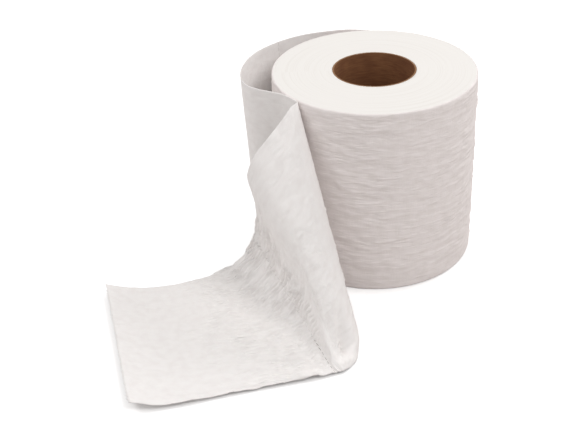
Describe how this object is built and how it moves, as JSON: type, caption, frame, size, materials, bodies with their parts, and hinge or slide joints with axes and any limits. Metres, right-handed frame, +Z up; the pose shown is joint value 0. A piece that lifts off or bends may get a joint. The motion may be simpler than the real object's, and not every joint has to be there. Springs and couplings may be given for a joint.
{
  "type": "toilet paper roll",
  "caption": "Toilet paper roll standing on end on its cardboard core, its loose end looped off the side, folded over and laid flat on the surface.",
  "frame": {"origin": "on the roll's axis, in the plane of its base", "axes": "+Z up the roll's axis; the loose end comes forward (-Y) and to the left (-X)"},
  "size_m": [0.1977, 0.1979, 0.1018],
  "materials": {
    "tissue": "matte",
    "core": "matte"
  },
  "bodies": {
    "root": {"tissue_web": "tissue", "core_tube": "core"}
  },
  "joints": []
}
